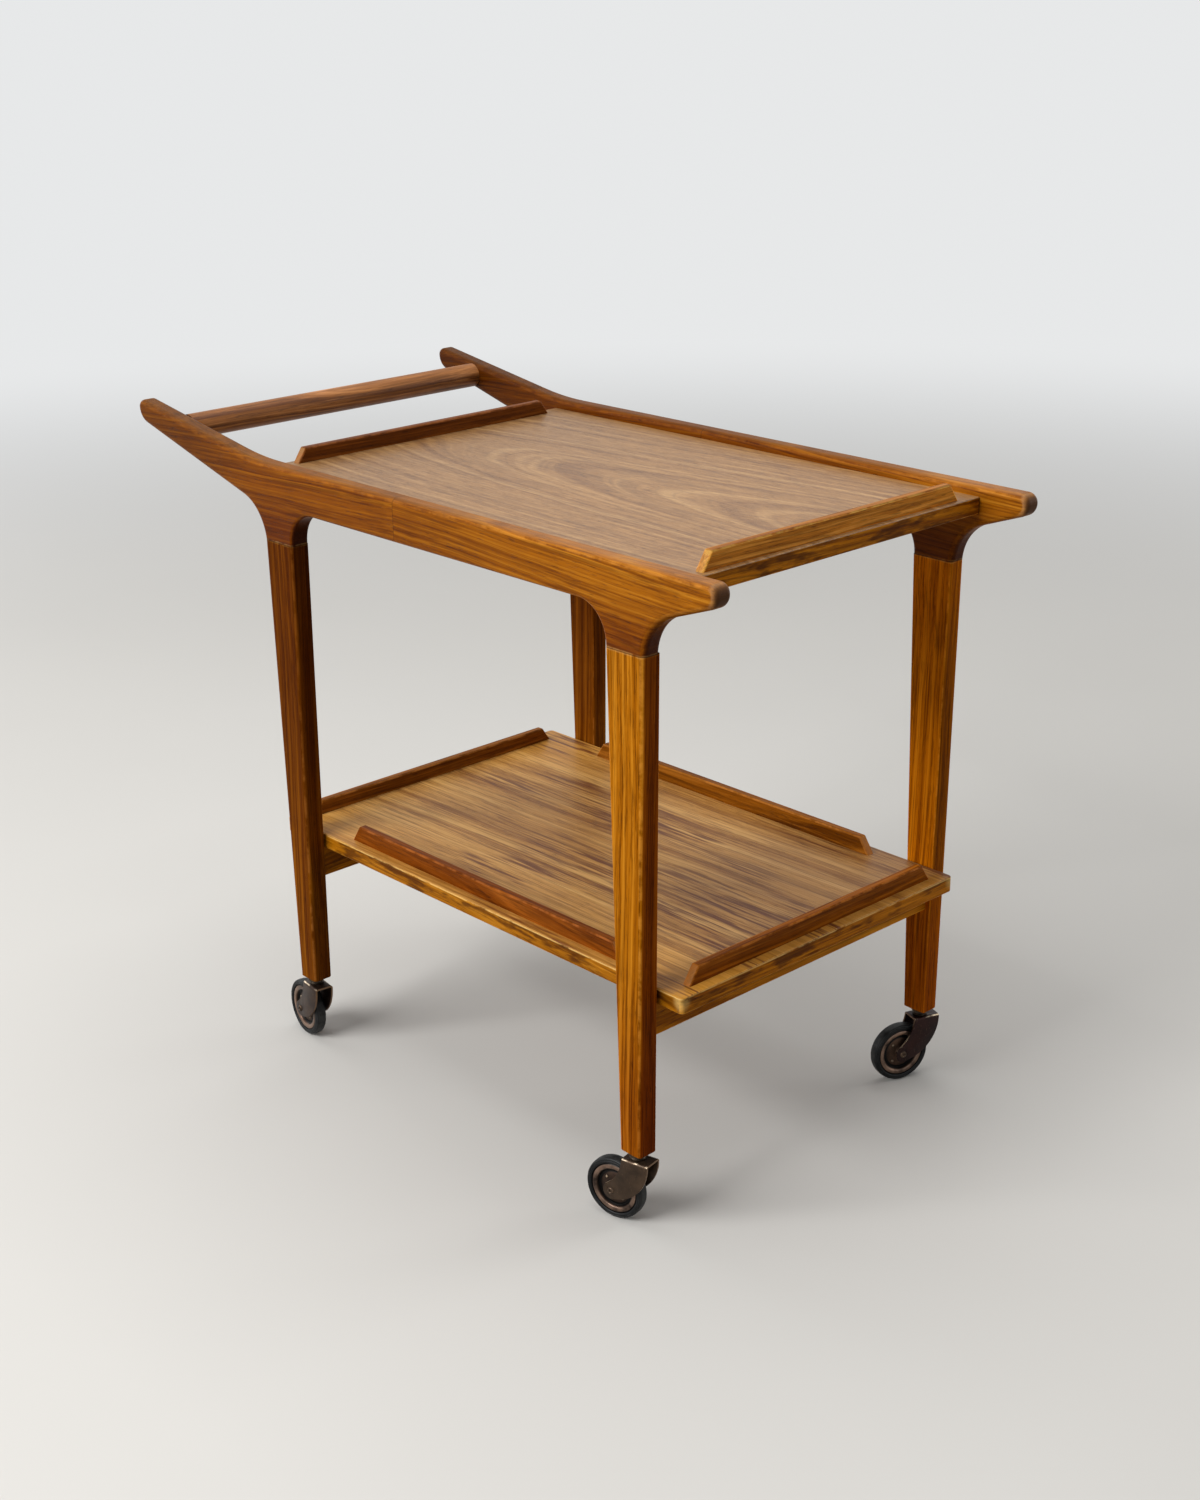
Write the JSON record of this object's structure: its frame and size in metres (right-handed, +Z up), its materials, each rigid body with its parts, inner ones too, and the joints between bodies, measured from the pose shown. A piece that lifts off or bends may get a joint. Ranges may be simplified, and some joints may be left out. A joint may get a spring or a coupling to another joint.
{
  "type": "bar cart",
  "caption": "Wooden two-tier serving cart: upswept side rails joined by a round push bar, recessed tray, lower shelf with gallery strips, tapered legs on swivel casters.",
  "frame": {"origin": "on the floor, at the middle of the overall length and width", "axes": "+Z up, +X from the push bar to the nose, +Y to the left of someone who pushes the cart"},
  "size_m": [0.888, 0.4618, 0.7002],
  "materials": {
    "rail_wood_front": "oiled satin",
    "rail_wood_rear": "oiled satin",
    "leg_wood": "oiled satin",
    "bar_wood": "oiled satin",
    "beech": "raw",
    "screw_steel": "bright",
    "cross_rail_wood": "oiled satin",
    "core_board": "raw",
    "tray_veneer": "oiled satin",
    "shelf_veneer": "oiled satin",
    "lipping_wood": "oiled satin",
    "strip_wood": "oiled satin",
    "socket_brass": "aged",
    "stem_steel": "aged",
    "fork_bronze": "worn bronze lacquer",
    "axle_steel": "aged",
    "wheel_bronze": "aged bronze",
    "tyre_rubber": "matt"
  },
  "bodies": {
    "frame": {"rail_left_front": "rail_wood_front", "leg_front_left": "leg_wood", "rail_left_rear": "rail_wood_rear", "leg_rear_left": "leg_wood", "rail_right_front": "rail_wood_front", "leg_front_right": "leg_wood", "rail_right_rear": "rail_wood_rear", "leg_rear_right": "leg_wood", "handle_bar": "bar_wood", "rail_tongues": "beech", "leg_dowels": "beech", "tray_dowels": "beech", "shelf_screws": "screw_steel", "cross_rail_front": "cross_rail_wood", "cross_rail_rear": "cross_rail_wood", "tray_core": "core_board", "tray_veneer": "tray_veneer", "tray_lipping_front": "lipping_wood", "tray_strip_front": "strip_wood", "tray_lipping_rear": "lipping_wood", "tray_strip_rear": "strip_wood", "shelf_core": "core_board", "shelf_veneer": "shelf_veneer", "shelf_lipping_front": "lipping_wood", "shelf_strip_front": "strip_wood", "shelf_lipping_rear": "lipping_wood", "shelf_strip_rear": "strip_wood", "shelf_lipping_left": "lipping_wood", "shelf_strip_left": "strip_wood", "shelf_lipping_right": "lipping_wood", "shelf_strip_right": "strip_wood", "socket_front_left": "socket_brass", "socket_front_right": "socket_brass", "socket_rear_left": "socket_brass", "socket_rear_right": "socket_brass"},
    "caster_front_left": {"stem_front_left": "stem_steel", "fork_front_left": "fork_bronze", "axle_front_left": "axle_steel"},
    "roller_front_left": {"wheel_front_left": "wheel_bronze", "tyre_front_left": "tyre_rubber"},
    "caster_front_right": {"stem_front_right": "stem_steel", "fork_front_right": "fork_bronze", "axle_front_right": "axle_steel"},
    "roller_front_right": {"wheel_front_right": "wheel_bronze", "tyre_front_right": "tyre_rubber"},
    "caster_rear_left": {"stem_rear_left": "stem_steel", "fork_rear_left": "fork_bronze", "axle_rear_left": "axle_steel"},
    "roller_rear_left": {"wheel_rear_left": "wheel_bronze", "tyre_rear_left": "tyre_rubber"},
    "caster_rear_right": {"stem_rear_right": "stem_steel", "fork_rear_right": "fork_bronze", "axle_rear_right": "axle_steel"},
    "roller_rear_right": {"wheel_rear_right": "wheel_bronze", "tyre_rear_right": "tyre_rubber"}
  },
  "joints": [
    {"name": "swivel_front_left", "type": "hinge", "parent": "frame", "child": "caster_front_left", "pos_m": [0.333, 0.212, 0.08], "axis": [0, 0, 1], "continuous": true},
    {"name": "roll_front_left", "type": "hinge", "parent": "caster_front_left", "child": "roller_front_left", "pos_m": [0.32445, 0.18851, 0.0323], "axis": [-0.9397, 0.342, 0], "continuous": true},
    {"name": "swivel_front_right", "type": "hinge", "parent": "frame", "child": "caster_front_right", "pos_m": [0.333, -0.212, 0.08], "axis": [0, 0, 1], "continuous": true},
    {"name": "roll_front_right", "type": "hinge", "parent": "caster_front_right", "child": "roller_front_right", "pos_m": [0.30855, -0.2172, 0.0323], "axis": [-0.2079, 0.9781, 0], "continuous": true},
    {"name": "swivel_rear_left", "type": "hinge", "parent": "frame", "child": "caster_rear_left", "pos_m": [-0.189, 0.212, 0.08], "axis": [0, 0, 1], "continuous": true},
    {"name": "roll_rear_left", "type": "hinge", "parent": "caster_rear_left", "child": "roller_rear_left", "pos_m": [-0.21376, 0.20852, 0.0323], "axis": [-0.1392, 0.9903, 0], "continuous": true},
    {"name": "swivel_rear_right", "type": "hinge", "parent": "frame", "child": "caster_rear_right", "pos_m": [-0.189, -0.212, 0.08], "axis": [0, 0, 1], "continuous": true},
    {"name": "roll_rear_right", "type": "hinge", "parent": "caster_rear_right", "child": "roller_rear_right", "pos_m": [-0.21376, -0.20852, 0.0323], "axis": [0.1392, 0.9903, 0], "continuous": true}
  ]
}
